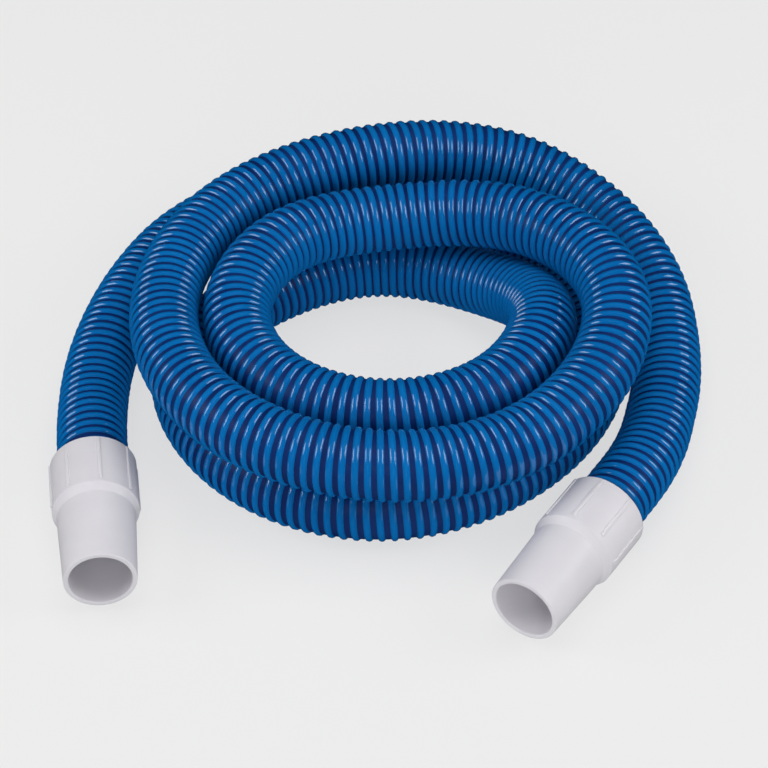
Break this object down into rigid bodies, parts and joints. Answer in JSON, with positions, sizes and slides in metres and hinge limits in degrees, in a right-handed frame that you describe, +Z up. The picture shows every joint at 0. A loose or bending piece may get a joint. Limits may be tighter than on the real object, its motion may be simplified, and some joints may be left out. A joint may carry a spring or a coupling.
{
  "type": "pool vacuum hose",
  "caption": "Coiled corrugated pool vacuum hose with a ribbed push-on cuff at each end, one fixed and one that swivels.",
  "frame": {"origin": "on the ground, under the middle of the coiled hose's bounding box", "axes": "+Z up, square to the ground that the coil lies on; both ends of the hose come forward, towards -Y; the fixed cuff is on the -X side and the swivel cuff on the +X side"},
  "size_m": [0.4259, 0.4346, 0.1089],
  "materials": {
    "hose": "glossy blown polyethylene",
    "cuff": "satin moulded plastic",
    "seal": "matte"
  },
  "bodies": {
    "hose": {"hose_left_lead": "hose", "hose_lower_turn": "hose", "hose_inner_turn": "hose", "hose_upper_turn": "hose", "hose_right_lead": "hose", "fixed_cuff": "cuff", "swivel_sleeve": "cuff"},
    "swivel_cuff": {"swivel_cuff": "cuff", "swivel_seal": "seal"}
  },
  "joints": [
    {"name": "cuff_swivel", "type": "hinge", "parent": "hose", "child": "swivel_cuff", "pos_m": [0.14054, -0.12122, 0.0285], "axis": [-0.5417, -0.8406, 0], "continuous": true}
  ]
}
